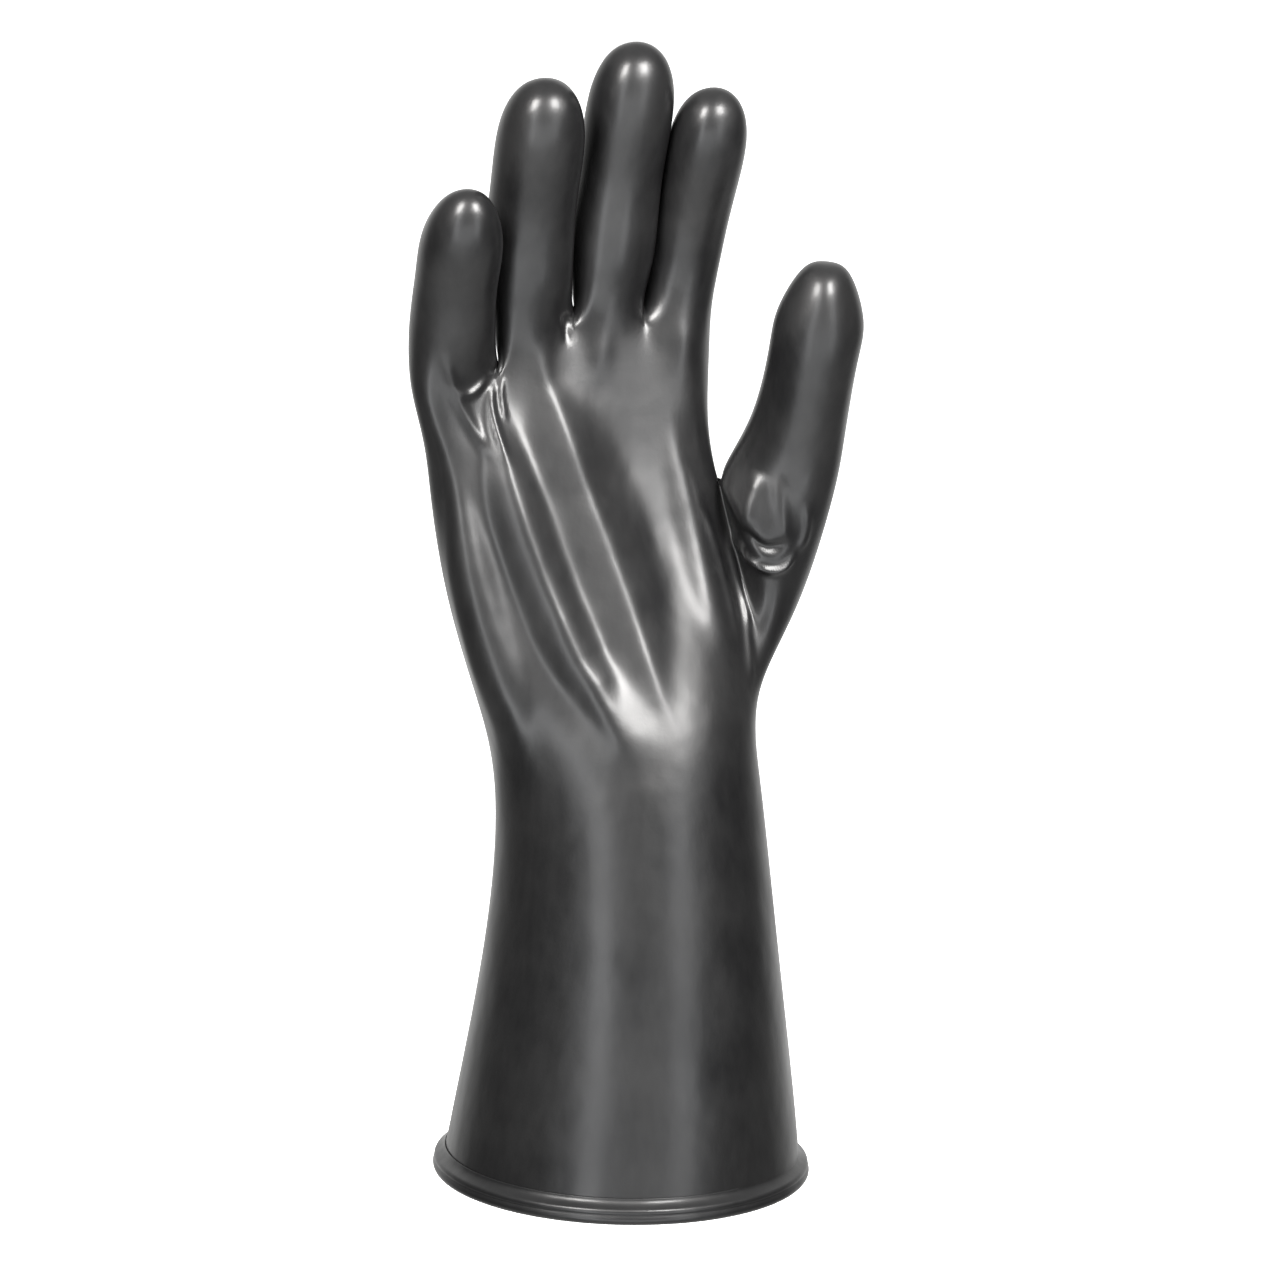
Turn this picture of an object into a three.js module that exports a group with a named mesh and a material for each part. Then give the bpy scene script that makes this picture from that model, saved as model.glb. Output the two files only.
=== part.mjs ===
// A long rubber glove for the right hand, filled out as it is on a hand, with a rolled bead round its
// mouth.
// Millimetres. +Z runs from the mouth to the fingertips, the palm faces -Y and the thumb is on the +X side.
// The origin is the centre of the round mouth.
import * as THREE from 'three';

// Driving dimensions
const WALL = 1.0;
const CLEARANCE = 0.3;
const BEAD_SEGMENTS = 48;
const SMOOTHING_LEVELS = 2;
const FITTING_ROUNDS = 8;

const rubber = new THREE.MeshStandardMaterial({ color: 0x2c2d2f, roughness: 0.38, metalness: 0 });
const rubberEdge = new THREE.MeshStandardMaterial({ color: 0x2a2b2d, roughness: 0.42, metalness: 0 });

// Cross-sections of the cuff, wrist and palm: a height, a centre, half the width and depth, the turn of
// the palm in degrees, and how square the section is (1 is an ellipse).
const SECTIONS = [
  { z: 0, x: 0, y: 0, halfWidth: 54.2, halfDepth: 54.2, turn: 0, square: 1 },
  { z: 24, x: 0.8, y: 0, halfWidth: 50.9, halfDepth: 50, turn: 0, square: 1 },
  { z: 74, x: 1.4, y: 0, halfWidth: 43.5, halfDepth: 40, turn: 0, square: 1 },
  { z: 118, x: -0.8, y: 1, halfWidth: 39.8, halfDepth: 32, turn: 2, square: 1 },
  { z: 147.7, x: -5.4, y: 2.6, halfWidth: 42.7, halfDepth: 26, turn: 10, square: 1.1 },
  { z: 178.9, x: -12.7, y: 6.7, halfWidth: 45.5, halfDepth: 19.6, turn: 18, square: 1.25 },
  { z: 210.3, x: -19.5, y: 9.8, halfWidth: 44.6, halfDepth: 15.6, turn: 22, square: 1.35 },
];

// Borders of the finger lanes at the knuckles, from the little finger's outer edge to the index finger's.
const KNUCKLES = [
  { x: -63.8, palmY: -12.8, backY: 6.7, z: 234.1 },
  { x: -42.1, palmY: -4.1, backY: 13.4, z: 238.5 },
  { x: -20.2, palmY: 6.2, backY: 23.2, z: 252.6 },
  { x: 0.4, palmY: 13.2, backY: 30.2, z: 253.3 },
  { x: 17.8, palmY: 19.3, backY: 38.3, z: 244.1 },
];

// Each finger follows a curve from its root towards its bend and on to its tip. The radii are at the root,
// halfway and at the end. The turn is that of its width, in degrees.
const FINGERS = [
  {
    name: 'little', root: [-55.1, -1.5, 236.1], bend: [-56.6, -4, 264], tip: [-49.1, -30, 293.8],
    rootRadius: 14, middleRadius: 12.8, endRadius: 11.4, turn: 14,
  },
  {
    name: 'ring', root: [-33.7, 9.3, 244], bend: [-35.8, 8.3, 286.6], tip: [-27.8, -18.7, 325.5],
    rootRadius: 14.3, middleRadius: 13.5, endRadius: 13, turn: 20,
  },
  {
    name: 'middle', root: [-11.4, 19.2, 250], bend: [-9.6, 18.2, 292.2], tip: [-2.2, -2.8, 336.6],
    rootRadius: 14.4, middleRadius: 13.2, endRadius: 12.9, turn: 24,
  },
  {
    name: 'index', root: [7.5, 28.6, 246.1], bend: [12.9, 26.6, 285.1], tip: [20.3, 1.6, 323.3],
    rootRadius: 11.2, middleRadius: 11.7, endRadius: 11.9, turn: 26,
  },
];
const FINGER_FLATNESS = 0.94;
const FINGER_RINGS = [0.28, 0.56];

// Domed ends, in radii of the finger: where the dome starts below the tip, and its last ring.
const DOME_HEIGHT = 1.35;
const CAP_DEPTH = 0.3;
const CAP_SHARE = 0.57;

// The thumb leaves the palm between two of the sections. The angle is that of its width in the front view.
const THUMB_FIRST_SECTION = 4;
const THUMB_LAST_SECTION = 6;
const THUMB = [
  { x: 36.4, y: 19.4, z: 188.9, angle: -57, halfWidth: 22.6, halfDepth: 15.1 },
  { x: 41.7, y: 18.1, z: 207.6, angle: -45, halfWidth: 17, halfDepth: 14.1 },
  { x: 46.7, y: 14.1, z: 224.8, angle: -22, halfWidth: 14.4, halfDepth: 13.3 },
  { x: 50.1, y: 7.1, z: 246.5, angle: -11, halfWidth: 13.4, halfDepth: 12.5 },
  { x: 51.8, y: 4.6, z: 258.1, angle: -7, halfWidth: 13, halfDepth: 12.1 },
];
const THUMB_TIP = [53.2, 1.6, 273.9];
const THUMB_CAP_RISE = 1.4;
const THUMB_CAP_SHARE = 0.64;
const THUMB_ANGLES = [-30, -90, -150, -210, -270, -330];

// Main folds of the palm, each a bowed line in the front view through an upper, a middle and a lower
// point, with half its width. A height below nothing is a valley.
const FOLDS = [
  { name: 'palm hollow', x: [-30.4, -18.2, 4], z: [238.1, 205.4, 151.6], width: 17, height: -4 },
  { name: 'heel ridge', x: [-54.4, -48.5, -35], z: [211.8, 183.2, 137.4], width: 8, height: 1.5 },
  { name: 'heel valley', x: [-50.1, -40.4, -25.6], z: [220.5, 186.2, 146.3], width: 6.5, height: -1.6 },
  { name: 'long ridge', x: [-44, -32.8, -14.2], z: [227, 196.5, 155.3], width: 6.5, height: 1.9 },
  { name: 'long valley', x: [-38.9, -26.4, -8.2], z: [227.8, 195.1, 159.5], width: 6, height: -1.3 },
  { name: 'ring finger ridge', x: [-32.9, -17.6, 4], z: [234.5, 202.3, 161.7], width: 7.5, height: 1.7 },
  { name: 'middle valley', x: [-14.9, -1.2, 19.6], z: [232.4, 192.4, 146.7], width: 7, height: -1.2 },
  { name: 'thumb side ridge', x: [0.6, 10.2, 28.4], z: [223.7, 192.1, 152], width: 7, height: 1.4 },
  { name: 'wrist ridge', x: [-4.7, -0.3, 3], z: [162, 147.8, 133.3], width: 9, height: 1.5 },
  { name: 'thumb root hollow', x: [31.3, 36.4, 37.9], z: [182, 170.5, 155.8], width: 8, height: -2.2 },
];
const FOLD_STEPS = 24;

// The rolled bead's section: a distance out from the skin and a height above the mouth.
const BEAD_PROFILE = [
  { out: 0, z: 0.35 },
  { out: 0.5, z: 0 },
  { out: 2.1, z: 0.25 },
  { out: 2.6, z: 1.3 },
  { out: 2.3, z: 2.4 },
  { out: 2.5, z: 3.3 },
  { out: 1.6, z: 4.6 },
  { out: -0.5, z: 4.9 },
];

const SIDE_OF_LAST_LANE = 4;
const LANE_ANGLE = 36;

function radians(degrees) {
  return THREE.MathUtils.degToRad(degrees);
}

function vector(list) {
  return new THREE.Vector3(list[0], list[1], list[2]);
}

function average(list) {
  const sum = new THREE.Vector3();
  for (const point of list) {
    sum.add(point);
  }
  return sum.divideScalar(list.length);
}

// A point on the curve that leaves the first point towards the second and ends in the third.
function curvePoint(first, control, last, share) {
  const rest = 1 - share;
  return vector(first)
    .multiplyScalar(rest * rest)
    .addScaledVector(vector(control), 2 * share * rest)
    .addScaledVector(vector(last), share * share);
}

// A value on the bowed line that passes through three values.
function bow([upper, middle, lower], share) {
  const rest = 1 - share;
  return upper * rest * (rest - share) + middle * 4 * share * rest + lower * share * (share - rest);
}

// Sine or cosine made squarer.
function squared(value, square) {
  return Math.sign(value) * Math.abs(value) ** (1 / square);
}

// Ten points round a section: five on the palm side from the little finger's edge, then five on the back.
function sectionRing(section) {
  const turn = radians(section.turn);
  const across = new THREE.Vector3(Math.cos(turn), Math.sin(turn), 0);
  const backwards = new THREE.Vector3(-Math.sin(turn), Math.cos(turn), 0);
  const ring = [];
  for (const side of [-1, 1]) {
    for (let border = 0; border <= SIDE_OF_LAST_LANE; border += 1) {
      const angle = radians((border - SIDE_OF_LAST_LANE / 2) * LANE_ANGLE);
      const width = section.halfWidth * squared(Math.sin(angle), section.square);
      const depth = side * section.halfDepth * squared(Math.cos(angle), section.square);
      ring.push(
        new THREE.Vector3(section.x, section.y, section.z)
          .addScaledVector(across, width)
          .addScaledVector(backwards, depth),
      );
    }
  }
  return ring;
}

function knuckleRing() {
  const palm = KNUCKLES.map((border) => new THREE.Vector3(border.x, border.palmY, border.z));
  const back = KNUCKLES.map((border) => new THREE.Vector3(border.x, border.backY, border.z));
  return [...palm, ...back];
}

// Four-cornered rings along a finger, the last one closing its dome.
function fingerRings(finger) {
  const bend = vector(finger.bend);
  const length = bend.distanceTo(vector(finger.root)) + bend.distanceTo(vector(finger.tip));
  const stations = FINGER_RINGS.map((share) => ({ share, scale: 1 }));
  stations.push({ share: 1 - (DOME_HEIGHT * finger.endRadius) / length, scale: 1 });
  stations.push({ share: 1 - (CAP_DEPTH * finger.endRadius) / length, scale: CAP_SHARE });
  return stations.map(({ share, scale }) => {
    const centre = curvePoint(finger.root, finger.bend, finger.tip, share);
    const ahead = curvePoint(finger.root, finger.bend, finger.tip, share + 0.01);
    const along = ahead.sub(curvePoint(finger.root, finger.bend, finger.tip, share - 0.01)).normalize();
    const turn = radians(finger.turn);
    const across = new THREE.Vector3(Math.cos(turn), Math.sin(turn), 0);
    across.addScaledVector(along, -across.dot(along)).normalize();
    const backwards = new THREE.Vector3().crossVectors(along, across);
    const radius = radiusAlong(finger, share) * scale * Math.SQRT1_2;
    return [[-1, -1], [1, -1], [1, 1], [-1, 1]].map(([side, depth]) =>
      centre
        .clone()
        .addScaledVector(across, side * radius)
        .addScaledVector(backwards, depth * radius * FINGER_FLATNESS),
    );
  });
}

function radiusAlong(finger, share) {
  if (share < 0.5) {
    return THREE.MathUtils.lerp(finger.rootRadius, finger.middleRadius, share * 2);
  }
  return THREE.MathUtils.lerp(finger.middleRadius, finger.endRadius, share * 2 - 1);
}

// Six-cornered rings along the thumb, the last one closing its dome.
function thumbRings() {
  const last = THUMB[THUMB.length - 1];
  const tip = vector(THUMB_TIP);
  const lastCentre = new THREE.Vector3(last.x, last.y, last.z);
  const upwards = tip.clone().sub(lastCentre).normalize();
  const capCentre = tip.clone().addScaledVector(upwards, -CAP_DEPTH * last.halfWidth);
  const stations = THUMB.map((row) => {
    return { ...row, centre: new THREE.Vector3(row.x, row.y, row.z), scale: 1 };
  });
  stations.push({ ...last, centre: capCentre, scale: THUMB_CAP_SHARE });
  return stations.map((station, number) => {
    const before = stations[Math.max(number - 1, 0)].centre;
    const after = stations[Math.min(number + 1, stations.length - 1)].centre;
    const along = after.clone().sub(before).normalize();
    const angle = radians(station.angle);
    const across = new THREE.Vector3(Math.cos(angle), 0, Math.sin(angle));
    if (number > 0) {
      across.addScaledVector(along, -across.dot(along)).normalize();
    }
    const backwards = new THREE.Vector3().crossVectors(across, along).normalize();
    if (backwards.y < 0) {
      backwards.negate();
    }
    return THUMB_ANGLES.map((degrees) => {
      const corner = radians(degrees);
      const point = station.centre
        .clone()
        .addScaledVector(across, station.scale * station.halfWidth * Math.cos(corner))
        .addScaledVector(backwards, station.scale * station.halfDepth * Math.sin(corner));
      const isMiddle = degrees === -90 || degrees === -270;
      if (station.scale < 1 && isMiddle) {
        point.addScaledVector(upwards, THUMB_CAP_RISE);
      }
      return point;
    });
  });
}

// The coarse cage of the whole skin: its points and its four-cornered faces, which look outwards.
function skinCage() {
  const points = [];
  const quads = [];
  const addRing = (ring) => ring.map((point) => points.push(point) - 1);
  const joinRings = (lower, upper) => {
    lower.forEach((start, corner) => {
      const next = (corner + 1) % lower.length;
      quads.push([start, lower[next], upper[next], upper[corner]]);
    });
  };

  const last = SIDE_OF_LAST_LANE;
  const back = last + 1;
  const rings = SECTIONS.map((section) => addRing(sectionRing(section)));
  const knuckles = addRing(knuckleRing());
  rings.push(knuckles);
  for (let level = 0; level < rings.length - 1; level += 1) {
    const lower = rings[level];
    const upper = rings[level + 1];
    for (let lane = 0; lane < last; lane += 1) {
      quads.push([lower[lane], lower[lane + 1], upper[lane + 1], upper[lane]]);
      quads.push([lower[back + lane + 1], lower[back + lane], upper[back + lane], upper[back + lane + 1]]);
    }
    if (level < THUMB_FIRST_SECTION || level >= THUMB_LAST_SECTION) {
      quads.push([lower[last], lower[back + last], upper[back + last], upper[last]]);
    }
    quads.push([lower[back], lower[0], upper[0], upper[back]]);
  }

  FINGERS.forEach((finger, lane) => {
    let lower = [knuckles[lane], knuckles[lane + 1], knuckles[back + lane + 1], knuckles[back + lane]];
    for (const ring of fingerRings(finger)) {
      const upper = addRing(ring);
      joinRings(lower, upper);
      lower = upper;
    }
    quads.push(lower);
  });

  const thumbLevels = rings.slice(THUMB_FIRST_SECTION, THUMB_LAST_SECTION + 1);
  const palmEdge = thumbLevels.map((ring) => ring[last]);
  const backEdge = thumbLevels.map((ring) => ring[back + last]).reverse();
  let lower = [...palmEdge, ...backEdge].reverse();
  for (const ring of thumbRings()) {
    const upper = addRing(ring).reverse();
    joinRings(lower, upper);
    lower = upper;
  }
  quads.push([lower[0], lower[1], lower[4], lower[5]]);
  quads.push([lower[1], lower[2], lower[3], lower[4]]);
  return { points, quads };
}

// One round of smoothing that turns each face into four. The first points stay those of the coarser
// mesh, moved.
function subdivide(points, quads) {
  const centres = quads.map((quad) => average(quad.map((index) => points[index])));
  const around = points.map(() => ({ centres: [], middles: [], rim: [] }));
  const edges = new Map();
  const keyOf = (a, b) => (a < b ? `${a} ${b}` : `${b} ${a}`);
  quads.forEach((quad, face) => {
    quad.forEach((a, corner) => {
      const b = quad[(corner + 1) % 4];
      const key = keyOf(a, b);
      if (!edges.has(key)) {
        edges.set(key, { a, b, faces: [], number: edges.size });
      }
      edges.get(key).faces.push(face);
      around[a].centres.push(centres[face]);
    });
  });

  const edgePoints = [];
  for (const { a, b, faces } of edges.values()) {
    const middle = average([points[a], points[b]]);
    around[a].middles.push(middle);
    around[b].middles.push(middle);
    if (faces.length === 1) {
      around[a].rim.push(points[b]);
      around[b].rim.push(points[a]);
      edgePoints.push(middle);
    } else {
      edgePoints.push(average([points[a], points[b], centres[faces[0]], centres[faces[1]]]));
    }
  }

  const moved = points.map((point, index) => {
    const near = around[index];
    if (near.rim.length > 0) {
      return point.clone().multiplyScalar(6).add(near.rim[0]).add(near.rim[1]).divideScalar(8);
    }
    const count = near.centres.length;
    return average(near.centres)
      .addScaledVector(average(near.middles), 2)
      .addScaledVector(point, count - 3)
      .divideScalar(count);
  });

  const firstEdge = points.length;
  const firstCentre = firstEdge + edgePoints.length;
  const finer = [];
  quads.forEach((quad, face) => {
    quad.forEach((a, corner) => {
      const next = quad[(corner + 1) % 4];
      const previous = quad[(corner + 3) % 4];
      const after = firstEdge + edges.get(keyOf(a, next)).number;
      const before = firstEdge + edges.get(keyOf(previous, a)).number;
      finer.push([a, after, firstCentre + face, before]);
    });
  });
  return { points: [...moved, ...edgePoints, ...centres], quads: finer };
}

function smooth(points, quads, levels) {
  let mesh = { points, quads };
  for (let level = 0; level < levels; level += 1) {
    mesh = subdivide(mesh.points, mesh.quads);
  }
  return mesh;
}

// Moves the cage's points until the smooth skin passes through the places where they were.
function fitCage(cage) {
  const wanted = cage.points;
  let points = wanted.map((point) => point.clone());
  for (let round = 0; round < FITTING_ROUNDS; round += 1) {
    const reached = smooth(points, cage.quads, 2).points;
    points = points.map((point, index) => point.clone().add(wanted[index]).sub(reached[index]));
  }
  return { points, quads: cage.quads };
}

function vertexNormals(points, quads) {
  const normals = points.map(() => new THREE.Vector3());
  for (const quad of quads) {
    const [a, b, c, d] = quad.map((index) => points[index]);
    const faceNormal = c.clone().sub(a).cross(d.clone().sub(b));
    for (const index of quad) {
      normals[index].add(faceNormal);
    }
  }
  return normals.map((normal) => normal.normalize());
}

// How far the folds lift a point of the palm.
function foldHeight(point, normal) {
  const facing = THREE.MathUtils.smoothstep(-normal.y, 0.1, 0.6);
  let height = 0;
  for (const fold of FOLDS) {
    let nearest = Infinity;
    let nearestShare = 0;
    for (let step = 0; step <= FOLD_STEPS; step += 1) {
      const share = step / FOLD_STEPS;
      const lineX = bow(fold.x, share);
      const lineZ = bow(fold.z, share);
      const distance = Math.hypot(point.x - lineX, point.z - lineZ);
      if (distance < nearest) {
        nearest = distance;
        nearestShare = share;
      }
    }
    const taper = THREE.MathUtils.smoothstep(Math.min(nearestShare, 1 - nearestShare), -0.02, 0.3);
    height += fold.height * taper * Math.exp(-((nearest / fold.width) ** 2) * 2);
  }
  return height * facing;
}

// The skin with its thickness: the outer surface, the inner one a wall away, and the lip that joins them.
function skinGeometry() {
  const cage = fitCage(skinCage());
  const outer = smooth(cage.points, cage.quads, SMOOTHING_LEVELS);
  const bareNormals = vertexNormals(outer.points, outer.quads);
  const outerPoints = outer.points.map((point, index) =>
    point.clone().addScaledVector(bareNormals[index], foldHeight(point, bareNormals[index])),
  );

  const edgeUse = new Map();
  for (const quad of outer.quads) {
    quad.forEach((a, corner) => {
      const b = quad[(corner + 1) % 4];
      const key = a < b ? `${a} ${b}` : `${b} ${a}`;
      edgeUse.set(key, [...(edgeUse.get(key) ?? []), [a, b]]);
    });
  }
  const mouthEdges = [...edgeUse.values()].filter((uses) => uses.length === 1).map((uses) => uses[0]);
  const mouthPoints = new Set(mouthEdges.flat());

  const normals = vertexNormals(outerPoints, outer.quads);
  const innerPoints = outerPoints.map((point, index) => {
    const inwards = normals[index].clone().negate();
    if (mouthPoints.has(index)) {
      inwards.z = 0;
      inwards.normalize();
    }
    return point.clone().addScaledVector(inwards, WALL);
  });

  const count = outerPoints.length;
  const triangles = [];
  const addQuad = (a, b, c, d) => triangles.push(a, b, c, a, c, d);
  for (const [a, b, c, d] of outer.quads) {
    addQuad(a, b, c, d);
    triangles.push(count + a, count + c, count + b, count + a, count + d, count + c);
  }
  for (const [a, b] of mouthEdges) {
    addQuad(b, a, count + a, count + b);
  }

  const geometry = new THREE.BufferGeometry();
  geometry.setFromPoints([...outerPoints, ...innerPoints]);
  geometry.setIndex(triangles);
  geometry.computeVertexNormals();
  return geometry;
}

// The bead is turned about the axis of the mouth.
function beadGeometry() {
  const innerRadius = SECTIONS[0].halfWidth + CLEARANCE;
  const profile = BEAD_PROFILE.map((row) => new THREE.Vector2(innerRadius + row.out, row.z));
  profile.push(profile[0].clone());
  const geometry = new THREE.LatheGeometry(profile, BEAD_SEGMENTS);
  geometry.rotateX(Math.PI / 2);
  return geometry;
}

const glove = new THREE.Group();
glove.name = 'chemical_resistant_glove';

const skin = new THREE.Mesh(skinGeometry(), rubber);
skin.name = 'glove_skin';
glove.add(skin);

const bead = new THREE.Mesh(beadGeometry(), rubberEdge);
bead.name = 'rolled_bead';
glove.add(bead);

export default glove;
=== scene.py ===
import math
from collections import namedtuple

import bpy
import numpy as np
from mathutils import Matrix, Vector


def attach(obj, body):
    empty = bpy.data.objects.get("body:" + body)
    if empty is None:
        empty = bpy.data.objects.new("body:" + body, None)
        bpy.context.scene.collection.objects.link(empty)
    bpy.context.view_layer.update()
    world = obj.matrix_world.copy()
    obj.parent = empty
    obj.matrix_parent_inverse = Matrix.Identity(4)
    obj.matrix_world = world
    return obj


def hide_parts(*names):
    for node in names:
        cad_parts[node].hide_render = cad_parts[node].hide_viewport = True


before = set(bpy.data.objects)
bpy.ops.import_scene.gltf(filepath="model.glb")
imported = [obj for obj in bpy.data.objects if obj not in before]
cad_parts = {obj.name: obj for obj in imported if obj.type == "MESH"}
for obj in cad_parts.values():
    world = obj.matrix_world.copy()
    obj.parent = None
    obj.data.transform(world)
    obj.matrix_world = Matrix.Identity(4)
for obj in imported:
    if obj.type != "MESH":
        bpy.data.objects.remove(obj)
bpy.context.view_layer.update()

# A long rubber glove for the right hand, filled out as it is on a hand. The tables are in millimetres.
# +Z runs from the mouth to the fingertips, the palm faces -Y and the thumb is on the +X side.
MM = 0.001

# Driving dimensions of the skin. Its lower end is lifted a little, so that it ends beside the bead.
# Points closer than the last value to the mouth's height belong to its rim.
WALL = 1.0
MOUTH_LIFT = 1.3
MOUTH_LIFT_REACH = 12.0
RIM_CLOSENESS = 0.01

# How often the cage is moved towards its fit, and how often each side of the skin is smoothed
FITTING_ROUNDS = 8
FITTING_LEVEL = 2
BASE_LEVEL = 4
INNER_LEVEL = 3

# The cuff and palm, section by section from the mouth upwards. A square of 1 is an ellipse.
Section = namedtuple("Section", "z x y half_width half_depth turn square")
SECTIONS = [
    Section(0, 0, 0, 54.2, 54.2, 0, 1),
    Section(24, 0.8, 0, 50.9, 50, 0, 1),
    Section(74, 1.4, 0, 43.5, 40, 0, 1),
    Section(118, -0.8, 1, 39.8, 32, 2, 1),
    Section(147.7, -5.4, 2.6, 42.7, 26, 10, 1.1),
    Section(178.9, -12.7, 6.7, 45.5, 19.6, 18, 1.25),
    Section(210.3, -19.5, 9.8, 44.6, 15.6, 22, 1.35),
]

# Borders of the finger lanes at the knuckles, from the little finger's outer edge to the index finger's
Border = namedtuple("Border", "x palm_y back_y z")
KNUCKLES = [
    Border(-63.8, -12.8, 6.7, 234.1),
    Border(-42.1, -4.1, 13.4, 238.5),
    Border(-20.2, 6.2, 23.2, 252.6),
    Border(0.4, 13.2, 30.2, 253.3),
    Border(17.8, 19.3, 38.3, 244.1),
]

# Each finger follows a curve from its root towards its bend and on to its tip. It is a little flatter
# than it is wide, has two rings on its way and ends in a dome.
Finger = namedtuple("Finger", "name root bend tip root_radius middle_radius end_radius turn")
FINGERS = [
    Finger("little", (-55.1, -1.5, 236.1), (-56.6, -4, 264), (-49.1, -30, 293.8), 14, 12.8, 11.7, 14),
    Finger("ring", (-33.4, 9.3, 244), (-35.6, 8.3, 286.6), (-27.8, -18.7, 325.5), 14.3, 13.5, 13, 20),
    Finger("middle", (-11.8, 19.2, 250), (-10.0, 18.2, 292.2), (-2.2, -2.8, 336.6), 14.4, 13.2, 12.9, 24),
    Finger("index", (7.5, 28.6, 246.1), (12.9, 26.6, 285.1), (20.3, 1.6, 323.3), 11.2, 11.7, 11.9, 26),
]
FINGER_FLATNESS = 0.94
FINGER_RINGS = (0.28, 0.56)
DOME_HEIGHT = 1.18
CAP_DEPTH = 0.24
CAP_SHARE = 0.51
SHARE_STEP = 0.01

# The thumb leaves the palm between two of the sections, and its rings have six corners each
THUMB_FIRST_SECTION = 4
THUMB_LAST_SECTION = 6
ThumbRing = namedtuple("ThumbRing", "x y z angle half_width half_depth")
THUMB = [
    ThumbRing(36.4, 19.4, 188.9, -57, 22.6, 15.1),
    ThumbRing(41.7, 18.1, 207.6, -45, 17, 14.1),
    ThumbRing(46.7, 14.1, 224.8, -22, 14.4, 13.3),
    ThumbRing(50.1, 7.1, 246.5, -11, 13.4, 12.5),
    ThumbRing(51.9, 4.4, 259.2, -7, 12.9, 12.2),
]
THUMB_TIP = (53.2, 1.6, 273.9)
THUMB_CAP_RISE = 1.5
THUMB_CAP_SHARE = 0.6
THUMB_ANGLES = (-30, -90, -150, -210, -270, -330)
THUMB_RAISED_ANGLES = (-90, -270)

# The palm side and the back have a lane for each finger, with borders 0 to 4 at equal angles
LAST_LANE = 4
LANE_ANGLE = 36

# Folds of the palm. Each is a bowed line in the front view through an upper, a middle and a lower point,
# with half its width at both ends and the height of its crest. A height below 0 is a valley. The shape is
# 2 for a round crest and 4 for one with a flat top.
Fold = namedtuple("Fold", "name x z upper_width lower_width height shape")
FOLDS = [
    Fold("palm bowl", (-19, -6.3, 6.4), (229.5, 189.6, 147.9), 24, 22, -1.6, 2),
    Fold("thumb mound", (20.4, 29.2, 33.9), (221.2, 184.3, 148.1), 10, 12, 1, 2),
    Fold("wrist swell", (-10.9, -4.2, 2.8), (161.6, 146.4, 125.6), 8, 10, 1.1, 2),
    Fold("thumb root ridge", (35.7, 33.4, 31), (212.4, 203, 193.7), 4.6, 4, 1.1, 2),
    Fold("thumb root swell", (40.4, 42.1, 44), (212.7, 200.9, 188.8), 3.6, 3, 0.8, 2),
    Fold("thumb fold lip", (25.7, 39, 47.4), (194, 182.7, 189.1), 1.5, 1.5, 1.6, 2),
    Fold("thumb fold lip, right", (46.8, 49.9, 49.5), (187.9, 193.9, 203.8), 1.8, 2, 0.7, 2),
    Fold("thumb fold pocket", (29.8, 37.5, 44.4), (196.6, 189.8, 192.4), 2.2, 2.2, -1.4, 2),
    Fold("thumb edge ridge", (27.3, 30.2, 36.4), (190.5, 178.5, 160.1), 1.6, 1.6, 0.8, 2),
    Fold("little finger fold", (-53.3, -48.6, -43.1), (237, 234.5, 241.5), 1.5, 1.5, 0.8, 2),
    Fold("little finger fold, left", (-56.8, -51.5, -39.4), (247.8, 231.7, 213.6), 2.4, 2.4, 0.8, 2),
    Fold("little finger fold, right", (-41.8, -42.5, -36.1), (238.7, 228.6, 211.3), 1.7, 1.7, 0.8, 2),
    Fold("web lip", (-40.4, -40, -38.1), (240.5, 233.2, 226.4), 1, 1, 0.7, 2),
    Fold("thumb side ridge", (18.9, 25.3, 32.4), (202.3, 184.2, 158.6), 1.7, 1.7, 0.9, 2),
    Fold("web crease", (-22.2, -22, -21.4), (258.1, 253.7, 248), 1.4, 1.4, -0.8, 2),
    Fold("palm edge ridge", (31.2, 33.9, 36), (173.2, 161.6, 147), 1.7, 1.7, 0.7, 2),
]

# Soft pads at the roots of three fingers, each with its centre and half its width and length
Bump = namedtuple("Bump", "name x z width length height")
KNUCKLE_PADS = [
    Bump("ring knuckle", -28.5, 243.3, 5, 9, 0.6),
    Bump("middle knuckle", -11.4, 247.2, 5, 9, 0.6),
    Bump("index knuckle", 12.9, 249.1, 5, 9, 0.6),
]

# The palm has rolls pressed together, which lie in a hollow. Each roll has a line like a fold's, the
# radius and the height of its crest, its lean, which is more than 0 where it faces left, and the slope of
# its flanks.
PalmRoll = namedtuple(
    "PalmRoll", "name x z upper_radius lower_radius upper_height lower_height upper_lean lower_lean slope"
)
PALM_ROLLS = [
    PalmRoll("heel roll", (-56.6, -45.1, -23.8), (225.7, 169.8, 115.6), 8, 8, -0.1, 2.8, -0.2, -0.28, 0.66),
    PalmRoll("long roll", (-47.2, -27.5, 0.9), (247.7, 183.3, 129.9), 3.5, 5, 1, 1.5, 0.1, 0.04, 0.62),
    PalmRoll("ring roll", (-36.8, -9.9, 15.3), (261.5, 196.8, 132.7), 4, 5, 0.5, 0.9, -0.05, -0.05, 0.34),
    PalmRoll("thumb roll", (1.6, 20.2, 34.6), (257.5, 189.5, 140.9), 6, 2.5, -0.6, -1.5, 0.06, 0.08, 0.84),
]
PALM_HOLLOW = Fold("palm hollow", (-41.4, -13.5, 17.6), (261.6, 189.8, 119.4), 46, 42, -4.4, 4)

# How sharp the creases between rolls are, how far a roll sinks at its ends, and how far out it leans
ROLL_CREASE = 1.3
ROLL_END_DROP = 4
ROLL_LEAN_REACH = 14

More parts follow.
